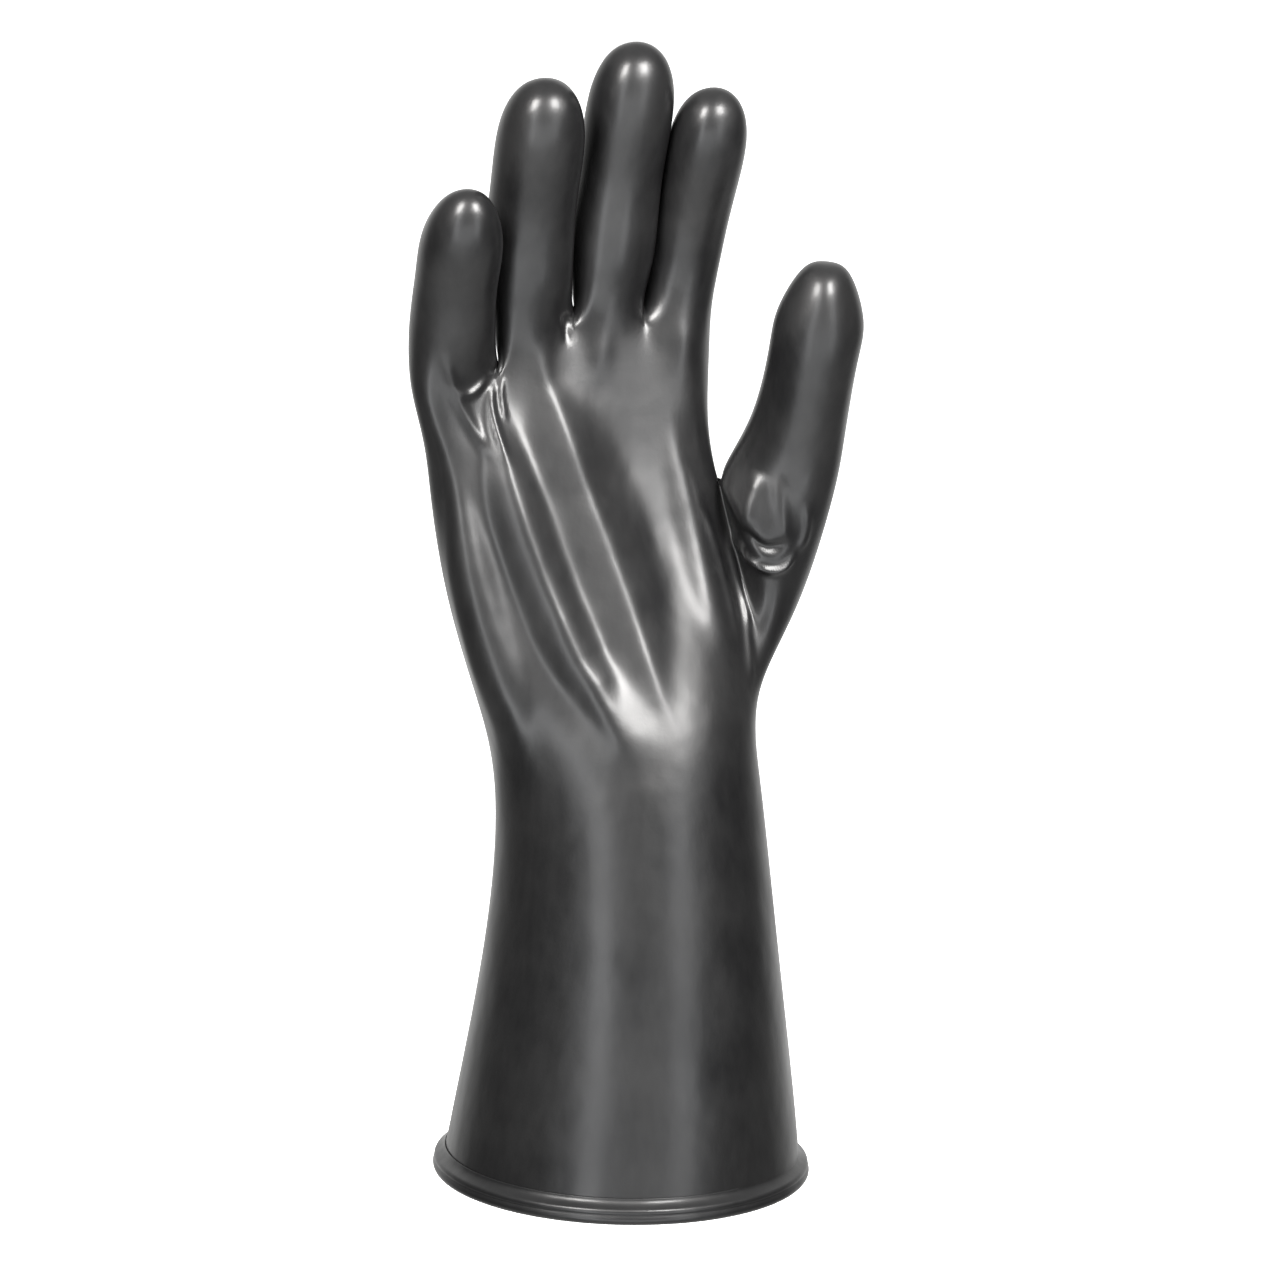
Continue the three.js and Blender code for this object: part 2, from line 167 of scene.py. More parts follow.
# The share of their length over which folds and rolls rise from their ends, and the steps in their lines
TAPER_START = -0.02
FOLD_TAPER = 0.3
ROLL_TAPER = 0.4
FOLD_STEPS = 24

# A fold has died away at this many times its half width. Folds fade out where the skin turns away from
# the palm side and are made only at these heights. The inner wall keeps a margin from their valleys.
FOLD_REACH = 2.2
FOLD_FACING = (0.1, 0.6)
FOLD_HEIGHTS = (105, 275)
INNER_FOLD_MARGIN = 0.3

# Where the mesh is one level finer, for the folds
FINE_X = (-62, 54)
FINE_Z = (122, 262)
FINE_FACING = 0.05

# The rolled bead has round rolls in its section, each with a centre, out from the mouth's radius and up,
# and a radius. Above them a hollow fillet runs up to the skin. The bead is set into the skin's wall.
Roll = namedtuple("Roll", "out z radius first_angle last_angle")
BEAD_ROLLS = [
    Roll(0.75, 1.75, 1.75, -200, 38),
    Roll(0.85, 3.75, 1.25, -28, 62),
]
BEAD_ROLL_STEPS = 14
BEAD_FILLET_TOP = 7.4
BEAD_FILLET_STEPS = 8
BEAD_FILLET_POWER = 2.4
BEAD_SEGMENTS = 240
MOUTH_RADIUS = SECTIONS[0].half_width
BEAD_SINK = 0.06

# The photograph's point of view
CAMERA_LENS = 120
CAMERA_SENSOR = 36
CAMERA_TARGET = (0.4, 0, 163)
CAMERA_DISTANCE = 1250
CAMERA_ELEVATION = 10.2
CAMERA_ROLL = 1.5

# The rubber's two colours in linear light, its roughness and its clear coat
Rubber = namedtuple("Rubber", "name dark light roughness")
SKIN_RUBBER = Rubber("skin_rubber", (0.004, 0.004, 0.0045), (0.014, 0.0138, 0.014), 0.38)
BEAD_RUBBER = Rubber("bead_rubber", (0.006, 0.006, 0.0065), (0.010, 0.010, 0.0105), 0.40)
RUBBER_IOR = 1.5
COAT_WEIGHT = 0.25
COAT_ROUGHNESS = 0.22

# The rubber's unevenness, as noise patterns: clouds and specks in its colour, smears in its gloss, and
# waves and grain in its surface
Noise = namedtuple("Noise", "scale detail stretch")
CLOUDS = Noise(38, 3, (1, 1, 1))
SPECKS = Noise(420, 4, (1, 1, 0.35))
SMEARS = Noise(55, 5, (1, 1, 0.6))
WAVES = Noise(26, 3, (1, 1, 0.8))
GRAIN = Noise(900, 3, (1, 1, 1))
SPECK_SHARE = 0.35
CLOUD_RANGE = (0.45, 0.9)
SMEAR_RANGE = (0.3, 0.7)
SMEAR_GLOSS = (-0.07, 0.08)
WAVE_STRENGTH = 0.3
WAVE_DEPTH = 0.005
GRAIN_STRENGTH = 0.08
GRAIN_DEPTH = 0.0003

# Floor and background
FLOOR_DEPTH = 60
FLOOR_RADIUS = 9000
FLOOR_SIDES = 96
FLOOR_WHITE = 0.9
FLOOR_ROUGHNESS = 0.8
FLOOR_GLOW = 1.2
BACKGROUND = 1.2

# The white surroundings are dim except towards these four directions. Each part brightens from its start,
# as a share of the way, until it is full.
WORLD_DIM = 0.12
WorldPart = namedtuple("WorldPart", "axis sign start full strength")
WORLD_PARTS = [
    WorldPart("Y", -1, 0.5, 1.0, 0.5),
    WorldPart("Y", 1, 0.45, 0.85, 1.05),
    WorldPart("Z", -1, 0.4, 0.95, 1.0),
    WorldPart("Z", 1, 0.3, 0.9, 0.5),
]
WORLD_TINT = (1.0, 1.0, 0.99)

# Lights round the camera's target, which they face. An azimuth above 0 is to the right of the front.
AreaLight = namedtuple("AreaLight", "name azimuth elevation distance width height watts colour")
LIGHTS = [
    AreaLight("left_key", -31, 40, 560, 150, 230, 3.9, (1.0, 0.98, 0.96)),
    AreaLight("right_key", 35, 40, 560, 150, 230, 4.5, (1.0, 0.985, 0.97)),
    AreaLight("left_panel", -21, 0, 1100, 260, 1300, 4.3, (0.97, 0.985, 1.0)),
    AreaLight("right_panel", 38, 0, 1100, 300, 1300, 3.8, (0.97, 0.985, 1.0)),
    AreaLight("low_panel", 6, -26, 1100, 800, 520, 2.7, (0.97, 0.985, 1.0)),
]


def unit(vector):
    return vector / np.linalg.norm(vector)


def smoothstep(value, low, high):
    share = np.clip((value - low) / (high - low), 0, 1)
    return share * share * (3 - 2 * share)


def curve_point(first, control, last, share):
    """A point on the curve that leaves first towards control and ends in last."""
    rest = 1 - share
    return first * rest * rest + control * 2 * share * rest + last * share * share


def squared(value, square):
    """Sine or cosine made squarer."""
    return math.copysign(abs(value) ** (1 / square), value)


def section_ring(section):
    """Points round a section from the little finger's edge: five on the palm side, then five on the back."""
    turn = math.radians(section.turn)
    centre = np.array([section.x, section.y, section.z], float)
    across = np.array([math.cos(turn), math.sin(turn), 0])
    backwards = np.array([-math.sin(turn), math.cos(turn), 0])
    ring = []
    for side in (-1, 1):
        for border in range(LAST_LANE + 1):
            angle = math.radians((border - LAST_LANE / 2) * LANE_ANGLE)
            width = section.half_width * squared(math.sin(angle), section.square)
            depth = side * section.half_depth * squared(math.cos(angle), section.square)
            ring.append(centre + across * width + backwards * depth)
    return ring


def knuckle_ring():
    """The last ring of the palm, with its points in a section's order."""
    palm = [np.array([b.x, b.palm_y, b.z], float) for b in KNUCKLES]
    back = [np.array([b.x, b.back_y, b.z], float) for b in KNUCKLES]
    return palm + back


def finger_radius(finger, share):
    """A finger's radius at a share of the way from its root to its tip."""
    if share < 0.5:
        return finger.root_radius + (finger.middle_radius - finger.root_radius) * share * 2
    return finger.middle_radius + (finger.end_radius - finger.middle_radius) * (share * 2 - 1)


def finger_rings(finger):
    """Four-cornered rings along a finger, the last one closing its dome."""
    root, bend, tip = (np.array(p, float) for p in (finger.root, finger.bend, finger.tip))
    length = np.linalg.norm(bend - root) + np.linalg.norm(tip - bend)
    stations = [(share, 1.0) for share in FINGER_RINGS]
    stations.append((1 - DOME_HEIGHT * finger.end_radius / length, 1.0))
    stations.append((1 - CAP_DEPTH * finger.end_radius / length, CAP_SHARE))
    turn = math.radians(finger.turn)
    rings = []
    for share, scale in stations:
        centre = curve_point(root, bend, tip, share)
        before = curve_point(root, bend, tip, share - SHARE_STEP)
        after = curve_point(root, bend, tip, share + SHARE_STEP)
        along = unit(after - before)
        across = np.array([math.cos(turn), math.sin(turn), 0])
        across = unit(across - along * (across @ along))
        backwards = np.cross(along, across)
        radius = finger_radius(finger, share) * scale * math.sqrt(0.5)
        ring = []
        for side, depth in ((-1, -1), (1, -1), (1, 1), (-1, 1)):
            ring.append(centre + across * radius * side + backwards * radius * depth * FINGER_FLATNESS)
        rings.append(ring)
    return rings


def thumb_rings():
    """Six-cornered rings along the thumb, the last one closing its dome."""
    last = THUMB[-1]
    tip = np.array(THUMB_TIP, float)
    upwards = unit(tip - np.array([last.x, last.y, last.z], float))
    stations = [(row, np.array([row.x, row.y, row.z], float), 1.0) for row in THUMB]
    stations.append((last, tip - upwards * CAP_DEPTH * last.half_width, THUMB_CAP_SHARE))
    rings = []
    for number, (row, centre, scale) in enumerate(stations):
        before = stations[max(number - 1, 0)][1]
        after = stations[min(number + 1, len(stations) - 1)][1]
        along = unit(after - before)
        angle = math.radians(row.angle)
        across = np.array([math.cos(angle), 0, math.sin(angle)])
        if number > 0:
            across = unit(across - along * (across @ along))
        backwards = unit(np.cross(across, along))
        if backwards[1] < 0:
            backwards = -backwards
        ring = []
        for degrees in THUMB_ANGLES:
            corner = math.radians(degrees)
            point = centre + across * scale * row.half_width * math.cos(corner)
            point = point + backwards * scale * row.half_depth * math.sin(corner)
            if scale < 1 and degrees in THUMB_RAISED_ANGLES:
                point = point + upwards * THUMB_CAP_RISE
            ring.append(point)
        rings.append(ring)
    return rings


def skin_cage():
    """The coarse cage of the whole skin: its points and its four-cornered faces, which look outwards."""
    points = []
    quads = []

    def add_ring(ring):
        points.extend(ring)
        return list(range(len(points) - len(ring), len(points)))

    def join_rings(lower, upper):
        for corner, start in enumerate(lower):
            following = (corner + 1) % len(lower)
            quads.append([start, lower[following], upper[following], upper[corner]])

    back = LAST_LANE + 1
    rings = [add_ring(section_ring(section)) for section in SECTIONS]
    knuckles = add_ring(knuckle_ring())
    rings.append(knuckles)
    for level in range(len(rings) - 1):
        lower, upper = rings[level], rings[level + 1]
        for lane in range(LAST_LANE):
            quads.append([lower[lane], lower[lane + 1], upper[lane + 1], upper[lane]])
            here, there = back + lane, back + lane + 1
            quads.append([lower[there], lower[here], upper[here], upper[there]])
        if not THUMB_FIRST_SECTION <= level < THUMB_LAST_SECTION:
            palm_border, back_border = LAST_LANE, back + LAST_LANE
            quads.append([lower[palm_border], lower[back_border], upper[back_border], upper[palm_border]])
        quads.append([lower[back], lower[0], upper[0], upper[back]])

    for lane, finger in enumerate(FINGERS):
        lower = [knuckles[lane], knuckles[lane + 1], knuckles[back + lane + 1], knuckles[back + lane]]
        for ring in finger_rings(finger):
            upper = add_ring(ring)
            join_rings(lower, upper)
            lower = upper
        quads.append(lower)

    thumb_levels = rings[THUMB_FIRST_SECTION : THUMB_LAST_SECTION + 1]
    palm_edge = [ring[LAST_LANE] for ring in thumb_levels]
    back_edge = [ring[back + LAST_LANE] for ring in reversed(thumb_levels)]
    lower = (palm_edge + back_edge)[::-1]
    for ring in thumb_rings():
        upper = add_ring(ring)[::-1]
        join_rings(lower, upper)
        lower = upper
    quads.append([lower[0], lower[1], lower[4], lower[5]])
    quads.append([lower[1], lower[2], lower[3], lower[4]])
    return np.array(points), np.array(quads)


def subdivide(points, quads):
    """One round of smoothing that turns each face into four, which follow each other in the result."""
    count = len(points)
    centres = points[quads].mean(axis=1)
    ends = np.sort(np.stack([quads, np.roll(quads, -1, axis=1)], axis=2).reshape(-1, 2), axis=1)
    edges, number, uses = np.unique(ends, axis=0, return_inverse=True, return_counts=True)
    number = number.reshape(-1)
    beside = np.zeros((len(edges), 3))
    np.add.at(beside, number, np.repeat(centres, 4, axis=0))
    middles = points[edges].mean(axis=1)
    is_rim = uses == 1
    edge_points = (middles * 2 + beside) / 4
    edge_points[is_rim] = middles[is_rim]

    corners = quads.reshape(-1)
    valence = np.bincount(corners, minlength=count)[:, None]
    around = np.zeros((count, 3))
    np.add.at(around, corners, np.repeat(centres, 4, axis=0))
    spokes = np.zeros((count, 3))
    spoke_count = np.zeros(count)
    for end in (0, 1):
        np.add.at(spokes, edges[:, end], middles)
        np.add.at(spoke_count, edges[:, end], 1)
    moved = (around / valence + 2 * spokes / spoke_count[:, None] + (valence - 3) * points) / valence
    rim = edges[is_rim]
    neighbours = np.zeros((count, 3))
    np.add.at(neighbours, rim[:, 0], points[rim[:, 1]])
    np.add.at(neighbours, rim[:, 1], points[rim[:, 0]])
    on_rim = np.unique(rim)
    moved[on_rim] = points[on_rim] * 0.75 + neighbours[on_rim] / 8

    edge_index = number.reshape(-1, 4) + count
    centre_index = np.arange(len(quads)) + count + len(edges)
    finer = [
        np.stack([quads[:, corner], edge_index[:, corner], centre_index, edge_index[:, corner - 1]], axis=1)
        for corner in range(4)
    ]
    return np.vstack([moved, edge_points, centres]), np.stack(finer, axis=1).reshape(-1, 4)


def smoothed(points, quads, levels):
    """The mesh after so many rounds of smoothing."""
    for _ in range(levels):
        points, quads = subdivide(points, quads)
    return points, quads


def fitted_cage():
    """The cage, moved so that the smooth skin passes close to the places where its points were."""
    wanted, quads = skin_cage()
    points = wanted.copy()
    for _ in range(FITTING_ROUNDS):
        reached, _ = smoothed(points, quads, FITTING_LEVEL)
        points = points + wanted - reached[: len(wanted)]
    return points, quads


def normals_of(points, quads):
    """Each point's normal, from the faces round it."""
    across = np.cross(points[quads[:, 2]] - points[quads[:, 0]], points[quads[:, 3]] - points[quads[:, 1]])
    normals = np.zeros_like(points)
    for corner in range(4):
        np.add.at(normals, quads[:, corner], across)
    return normals / np.linalg.norm(normals, axis=1)[:, None]


def fold_line(fold):
    """Points along the fold in the front view."""
    share = np.linspace(0, 1, FOLD_STEPS + 1)[:, None]
    rows = np.array([fold.x, fold.z], float).T
    weights = ((1 - share) * (1 - 2 * share), 4 * share * (1 - share), share * (2 * share - 1))
    return sum(weight * row for weight, row in zip(weights, rows))


def place_by_line(row, flat):
    """How far each point is from the row's line, how far to the right of it, and how far along it."""
    line = fold_line(row)
    nearest = np.full(len(flat), np.inf)
    along = np.zeros(len(flat))
    rightwards = np.zeros(len(flat))
    for step in range(FOLD_STEPS):
        start, step_vector = line[step], line[step + 1] - line[step]
        offset = flat - start
        part = np.clip(offset @ step_vector / (step_vector @ step_vector), 0, 1)
        distance = np.linalg.norm(offset - part[:, None] * step_vector, axis=1)
        closer = distance < nearest
        nearest[closer] = distance[closer]
        along[closer] = (step + part[closer]) / FOLD_STEPS
        turned = offset[:, 1] * step_vector[0] - offset[:, 0] * step_vector[1]
        rightwards[closer] = turned[closer] / np.linalg.norm(step_vector)
    return nearest, rightwards, along


def between(upper, lower, along):
    """From the upper value at the start to the lower value at the end."""
    return upper + (lower - upper) * along


def taper(along, share):
    """From nearly 0 at both ends of a line to 1 beyond the given share of its length."""
    return smoothstep(np.minimum(along, 1 - along), TAPER_START, share)


def fold_sum(folds, flat, taper_share):
    """The height of all the folds together at each point of the front view."""
    heights = np.zeros(len(flat))
    for fold in folds:
        line = fold_line(fold)
        reach = FOLD_REACH * max(fold.upper_width, fold.lower_width)
        near = np.all(flat > line.min(axis=0) - reach, axis=1)
        near = np.flatnonzero(near & np.all(flat < line.max(axis=0) + reach, axis=1))
        distance, _, along = place_by_line(fold, flat[near])
        width = between(fold.upper_width, fold.lower_width, along)
        crest = fold.height * taper(along, taper_share)
        heights[near] += crest * np.exp(-2 * (distance / width) ** fold.shape)
    return heights


def bump_sum(bumps, flat):
    """The height of all the pads together at each point of the front view."""
    heights = np.zeros(len(flat))
    for bump in bumps:
        across = (flat[:, 0] - bump.x) / bump.width
        upwards = (flat[:, 1] - bump.z) / bump.length
        heights += bump.height * np.exp(-2 * (across**2 + upwards**2))
    return heights


def roll_height(roll, flat):
    """The height of one roll at each point of the front view: a rounded roof that sinks at its ends."""
    distance, rightwards, along = place_by_line(roll, flat)
    bend = roll.slope * between(roll.upper_radius, roll.lower_radius, along)
    fall = roll.slope * (np.sqrt(distance**2 + bend**2) - bend)
    lean = between(roll.upper_lean, roll.lower_lean, along)
    lean = lean * np.clip(rightwards, -ROLL_LEAN_REACH, ROLL_LEAN_REACH)
    drop = ROLL_END_DROP * (1 - taper(along, ROLL_TAPER))
    return between(roll.upper_height, roll.lower_height, along) - fall + lean - drop


def fold_heights(points, normals):
    """How far the rolls, folds and pads lift each point of the palm. The rolls join in rounded creases."""
    facing = smoothstep(-normals[:, 1], *FOLD_FACING)
    z = points[:, 2]
    palm = np.flatnonzero((facing > 0) & (z > FOLD_HEIGHTS[0]) & (z < FOLD_HEIGHTS[1]))
    flat = points[palm][:, [0, 2]]
    rolls = [roll_height(roll, flat) for roll in PALM_ROLLS]
    levels = np.array([fold_sum([PALM_HOLLOW], flat, ROLL_TAPER)] + rolls)
    highest = levels.max(axis=0)
    joined = highest + np.log(np.exp(ROLL_CREASE * (levels - highest)).sum(axis=0)) / ROLL_CREASE
    heights = np.zeros(len(points))
    heights[palm] = joined + fold_sum(FOLDS, flat, FOLD_TAPER) + bump_sum(KNUCKLE_PADS, flat)
    return heights * facing


def in_fine_region(centres, normals):
    """Which faces lie where the mesh is one level finer."""
    inside = (centres[:, 0] > FINE_X[0]) & (centres[:, 0] < FINE_X[1])
    inside &= (centres[:, 2] > FINE_Z[0]) & (centres[:, 2] < FINE_Z[1])
    return inside & (-normals[:, 1] > FINE_FACING)


def mixed_level(points, quads, is_fine):
    """The mesh with four faces for each that is_fine marks. Faces beside those take up their new points."""
    finer_points, finer_quads = subdivide(points, quads)
    children = finer_quads.reshape(-1, 4, 4)
    middle_points = children[:, :, 1]
    kept_middles = set(middle_points[is_fine].reshape(-1).tolist())
    faces = children[is_fine].reshape(-1, 4).tolist()
    corner_lists = quads[~is_fine].tolist()
    middle_lists = middle_points[~is_fine].tolist()
    for corners, middles in zip(corner_lists, middle_lists):
        face = []
        for corner, middle in zip(corners, middles):
            face.append(corner)
            if middle in kept_middles:
                face.append(middle)
        faces.append(face)
    used = np.unique(np.concatenate([np.array(face) for face in faces]))
    place = np.full(len(finer_points), -1)
    place[used] = np.arange(len(used))
    renumbered = [[int(place[index]) for index in face] for face in faces]
    return finer_points, finer_quads, used, renumbered


def lift_mouth(points):
    """The points with the skin's lower end lifted, so that it ends beside the bead."""
    lifted = points.copy()
    lifted[:, 2] += MOUTH_LIFT * (1 - smoothstep(points[:, 2], 0, MOUTH_LIFT_REACH))
    return lifted


def wall_surface(base_level, inwards):
    """One side of the skin at its mixed levels, as points and faces."""
    cage_points, cage_quads = fitted_cage()
    points, quads = smoothed(cage_points, cage_quads, base_level)
    centres = points[quads].mean(axis=1)
    face_normals = normals_of(points, quads)[quads].mean(axis=1)
    is_fine = in_fine_region(centres, face_normals)
    if inwards:
        is_fine |= points[quads][:, :, 2].min(axis=1) < RIM_CLOSENESS
    finer_points, finer_quads, used, faces = mixed_level(points, quads, is_fine)
    normals = normals_of(finer_points, finer_quads)[used]
    surface = finer_points[used]
    heights = fold_heights(surface, normals)
    if inwards:
        heights = np.minimum(heights, 0) - WALL - INNER_FOLD_MARGIN * (heights != 0)
    mouth = surface[:, 2] < RIM_CLOSENESS
    normals[mouth, 2] = 0
    normals[mouth] /= np.linalg.norm(normals[mouth], axis=1)[:, None]
    return lift_mouth(surface + normals * heights[:, None]), faces


def mouth_ring(points, offset):
    """The rim's points in order round the mouth."""
    low = np.flatnonzero(points[:, 2] < MOUTH_LIFT + RIM_CLOSENESS)
    order = np.argsort(np.arctan2(points[low, 1], points[low, 0]))
    return (low[order] + offset).tolist()


def mesh_object(name, points, faces, material):
    """A smooth-shaded object in the scene, from points in millimetres."""
    mesh = bpy.data.meshes.new(name)
    mesh.from_pydata((points * MM).tolist(), [], faces)
    mesh.validate()
    mesh.polygons.foreach_set("use_smooth", [True] * len(mesh.polygons))
    mesh.update()
    piece = bpy.data.objects.new(name, mesh)
    bpy.context.scene.collection.objects.link(piece)
    piece.data.materials.append(material)
    return piece


def make_skin(material):
    """The outer and the inner side of the skin, joined round the mouth."""
    outer_points, outer_faces = wall_surface(BASE_LEVEL, inwards=False)
    inner_points, inner_faces = wall_surface(INNER_LEVEL, inwards=True)
    count = len(outer_points)
    faces = outer_faces + [[index + count for index in reversed(face)] for face in inner_faces]
    outer_ring = mouth_ring(outer_points, 0)
    inner_ring = mouth_ring(inner_points, count)
    for number, start in enumerate(outer_ring):
        following = (number + 1) % len(outer_ring)
        faces.append([start, inner_ring[number], inner_ring[following], outer_ring[following]])
    return mesh_object("skin", np.vstack([outer_points, inner_points]), faces, material)


def bead_profile():
    """The bead's closed section: its rolls, a hollow curve up to the skin, and a line down in the wall."""
    profile = []
    for roll in BEAD_ROLLS:
        for angle in np.radians(np.linspace(roll.first_angle, roll.last_angle, BEAD_ROLL_STEPS)):
            out = roll.out + roll.radius * math.cos(angle)
            profile.append((out, roll.z + roll.radius * math.sin(angle)))
    start_out, start_z = profile[-1]
    for share in np.linspace(0, 1, BEAD_FILLET_STEPS + 1)[1:]:
        z = start_z + (BEAD_FILLET_TOP - start_z) * share
        free = (1 - share) ** BEAD_FILLET_POWER
        profile.append((start_out * free + skin_out(z) * (1 - free), z))
    return profile


def skin_out(height):
    """How far out from the mouth's radius the skin's sides are at a height, less the bead's sink."""
    second = SECTIONS[1]
    return (second.half_width - MOUTH_RADIUS) * height / second.z - BEAD_SINK


def make_bead(material):
    """The bead's section, turned round the mouth."""
    profile = bead_profile()
    points = []
    for number in range(BEAD_SEGMENTS):
        angle = 2 * math.pi * number / BEAD_SEGMENTS
        for out, z in profile:
            radius = MOUTH_RADIUS + out
            points.append((radius * math.cos(angle), radius * math.sin(angle), z))
    count = len(profile)
    faces = []
    for number in range(BEAD_SEGMENTS):
        here = number * count
        there = (number + 1) % BEAD_SEGMENTS * count
        for step in range(count):
            following = (step + 1) % count
            faces.append([here + step, there + step, there + following, here + following])
    return mesh_object("bead", np.array(points), faces, material)


def noise_node(nodes, links, coordinates, pattern):
    """The value of a noise pattern."""
    mapping = nodes.new("ShaderNodeMapping")
    mapping.inputs["Scale"].default_value = pattern.stretch
    links.new(coordinates, mapping.inputs["Vector"])
    noise = nodes.new("ShaderNodeTexNoise")
    noise.inputs["Scale"].default_value = pattern.scale
    noise.inputs["Detail"].default_value = pattern.detail
    links.new(mapping.outputs["Vector"], noise.inputs["Vector"])
    return noise.outputs["Fac"]


def range_node(nodes, links, value, low, high, new_low, new_high):
    """A value, moved from one range to another and kept inside it."""
    node = nodes.new("ShaderNodeMapRange")
    node.inputs["From Min"].default_value = low
    node.inputs["From Max"].default_value = high
    node.inputs["To Min"].default_value = new_low
    node.inputs["To Max"].default_value = new_high
    links.new(value, node.inputs["Value"])
    return node.outputs["Result"]


def bump_node(nodes, links, height, strength, depth):
    """A node that tilts the surface's shading by a height."""
    bump = nodes.new("ShaderNodeBump")
    bump.inputs["Strength"].default_value = strength
    bump.inputs["Distance"].default_value = depth
    links.new(height, bump.inputs["Height"])
    return bump


def rubber_material(rubber):
    """Smooth satin rubber: a clouded dark colour, uneven gloss, and fine unevenness from dipping."""
    material = bpy.data.materials.new(rubber.name)
    material.use_nodes = True
    nodes, links = material.node_tree.nodes, material.node_tree.links
    shader = nodes["Principled BSDF"]
    shader.inputs["IOR"].default_value = RUBBER_IOR
    shader.inputs["Coat Weight"].default_value = COAT_WEIGHT
    shader.inputs["Coat Roughness"].default_value = COAT_ROUGHNESS
    coordinates = nodes.new("ShaderNodeTexCoord").outputs["Object"]

    clouds = noise_node(nodes, links, coordinates, CLOUDS)
    specks = noise_node(nodes, links, coordinates, SPECKS)
    both = nodes.new("ShaderNodeMath")
    both.operation = "MULTIPLY_ADD"
    both.inputs[1].default_value = SPECK_SHARE
    links.new(specks, both.inputs[0])
    links.new(clouds, both.inputs[2])
    shade = range_node(nodes, links, both.outputs[0], *CLOUD_RANGE, 0, 1)
    mix = nodes.new("ShaderNodeMix")
    mix.data_type = "RGBA"
    mix.inputs["A"].default_value = (*rubber.dark, 1)
    mix.inputs["B"].default_value = (*rubber.light, 1)
    links.new(shade, mix.inputs["Factor"])
    links.new(mix.outputs["Result"], shader.inputs["Base Color"])

    smears = noise_node(nodes, links, coordinates, SMEARS)
    glossy, dull = (rubber.roughness + change for change in SMEAR_GLOSS)
    gloss = range_node(nodes, links, smears, *SMEAR_RANGE, glossy, dull)
    links.new(gloss, shader.inputs["Roughness"])

    waves = noise_node(nodes, links, coordinates, WAVES)
    grain = noise_node(nodes, links, coordinates, GRAIN)
    wave_bump = bump_node(nodes, links, waves, WAVE_STRENGTH, WAVE_DEPTH)
    grain_bump = bump_node(nodes, links, grain, GRAIN_STRENGTH, GRAIN_DEPTH)
    links.new(wave_bump.outputs["Normal"], grain_bump.inputs["Normal"])
    links.new(grain_bump.outputs["Normal"], shader.inputs["Normal"])
    return material


def make_floor():
    """A plain pale floor below the glove, which is held up."""
    points = [(0.0, 0.0, -FLOOR_DEPTH)]
    for number in range(FLOOR_SIDES):
        angle = 2 * math.pi * number / FLOOR_SIDES
        points.append((FLOOR_RADIUS * math.cos(angle), FLOOR_RADIUS * math.sin(angle), -FLOOR_DEPTH))
    faces = [[0, 1 + number, 1 + (number + 1) % FLOOR_SIDES] for number in range(FLOOR_SIDES)]
    material = bpy.data.materials.new("pale_floor")
    material.use_nodes = True
    shader = material.node_tree.nodes["Principled BSDF"]
    shader.inputs["Base Color"].default_value = (FLOOR_WHITE, FLOOR_WHITE, FLOOR_WHITE, 1)
    shader.inputs["Roughness"].default_value = FLOOR_ROUGHNESS
    shader.inputs["Emission Color"].default_value = (1, 1, 1, 1)
    shader.inputs["Emission Strength"].default_value = FLOOR_GLOW
    piece = mesh_object("floor", np.array(points), faces, material)
    piece.visible_glossy = False
    piece.visible_diffuse = False
    return piece


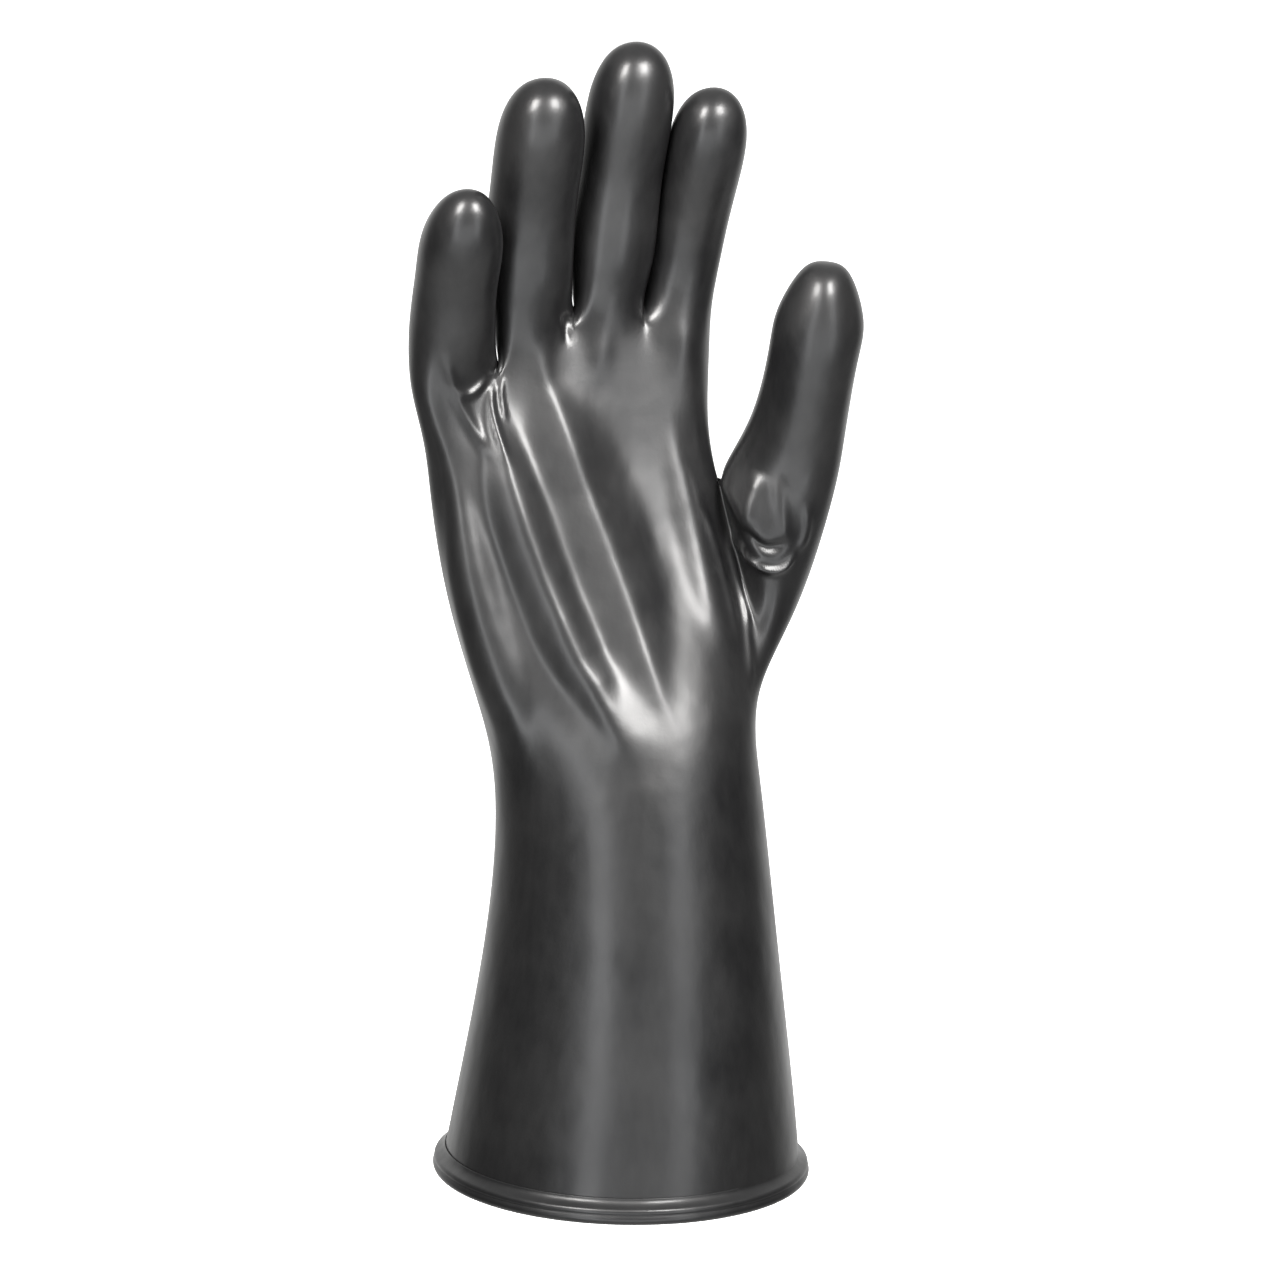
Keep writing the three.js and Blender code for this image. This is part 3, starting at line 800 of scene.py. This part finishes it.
def make_world():
    """White surroundings with dim sides, and a white background."""
    world = bpy.data.worlds.new("studio")
    bpy.context.scene.world = world
    world.use_nodes = True
    nodes, links = world.node_tree.nodes, world.node_tree.links
    nodes.clear()
    split = nodes.new("ShaderNodeSeparateXYZ")
    links.new(nodes.new("ShaderNodeTexCoord").outputs["Generated"], split.inputs["Vector"])
    brightness = None
    for part in WORLD_PARTS:
        start, full = part.sign * part.start, part.sign * part.full
        bright = range_node(nodes, links, split.outputs[part.axis], start, full, WORLD_DIM, part.strength)
        if brightness is None:
            brightness = bright
            continue
        brightest = nodes.new("ShaderNodeMath")
        brightest.operation = "MAXIMUM"
        links.new(brightness, brightest.inputs[0])
        links.new(bright, brightest.inputs[1])
        brightness = brightest.outputs[0]
    tint = nodes.new("ShaderNodeVectorMath")
    tint.operation = "SCALE"
    tint.inputs[0].default_value = WORLD_TINT
    links.new(brightness, tint.inputs["Scale"])
    seen = nodes.new("ShaderNodeMix")
    seen.data_type = "RGBA"
    seen.inputs["B"].default_value = (BACKGROUND, BACKGROUND, BACKGROUND, 1)
    links.new(nodes.new("ShaderNodeLightPath").outputs["Is Camera Ray"], seen.inputs["Factor"])
    links.new(tint.outputs["Vector"], seen.inputs["A"])
    background = nodes.new("ShaderNodeBackground")
    links.new(seen.outputs["Result"], background.inputs["Color"])
    output = nodes.new("ShaderNodeOutputWorld")
    links.new(background.outputs["Background"], output.inputs["Surface"])


def make_light(row):
    """One area light at its place round the camera's target."""
    azimuth, elevation = math.radians(row.azimuth), math.radians(row.elevation)
    level = math.cos(elevation)
    towards = Vector((math.sin(azimuth) * level, -math.cos(azimuth) * level, math.sin(elevation)))
    data = bpy.data.lights.new(row.name, "AREA")
    data.shape = "RECTANGLE"
    data.size = row.width * MM
    data.size_y = row.height * MM
    data.energy = row.watts
    data.color = row.colour
    light = bpy.data.objects.new(row.name, data)
    bpy.context.scene.collection.objects.link(light)
    light.location = Vector(CAMERA_TARGET) * MM + towards * row.distance * MM
    light.rotation_mode = "QUATERNION"
    light.rotation_quaternion = towards.to_track_quat("Z", "Y")
    return light


def make_camera():
    """The camera, slightly above the glove and rolled a little."""
    tilt, roll = math.radians(CAMERA_ELEVATION), math.radians(CAMERA_ROLL)
    back = Vector((0, -math.cos(tilt), math.sin(tilt)))
    level_right = Vector((1, 0, 0))
    level_up = back.cross(level_right)
    right = level_right * math.cos(roll) + level_up * math.sin(roll)
    up = level_up * math.cos(roll) - level_right * math.sin(roll)
    data = bpy.data.cameras.new("camera")
    data.sensor_width = CAMERA_SENSOR
    data.lens = CAMERA_LENS
    camera = bpy.data.objects.new("camera", data)
    bpy.context.scene.collection.objects.link(camera)
    eye = Vector(CAMERA_TARGET) * MM + back * CAMERA_DISTANCE * MM
    camera.matrix_world = Matrix.Translation(eye) @ Matrix((right, up, back)).transposed().to_4x4()
    bpy.context.scene.camera = camera


make_camera()
make_world()
for row in LIGHTS:
    make_light(row)
bpy.context.scene.view_settings.view_transform = "Standard"

skin = make_skin(rubber_material(SKIN_RUBBER))
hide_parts("glove_skin")
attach(skin, "root")

bead = make_bead(rubber_material(BEAD_RUBBER))
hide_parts("rolled_bead")
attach(bead, "root")

floor = make_floor()
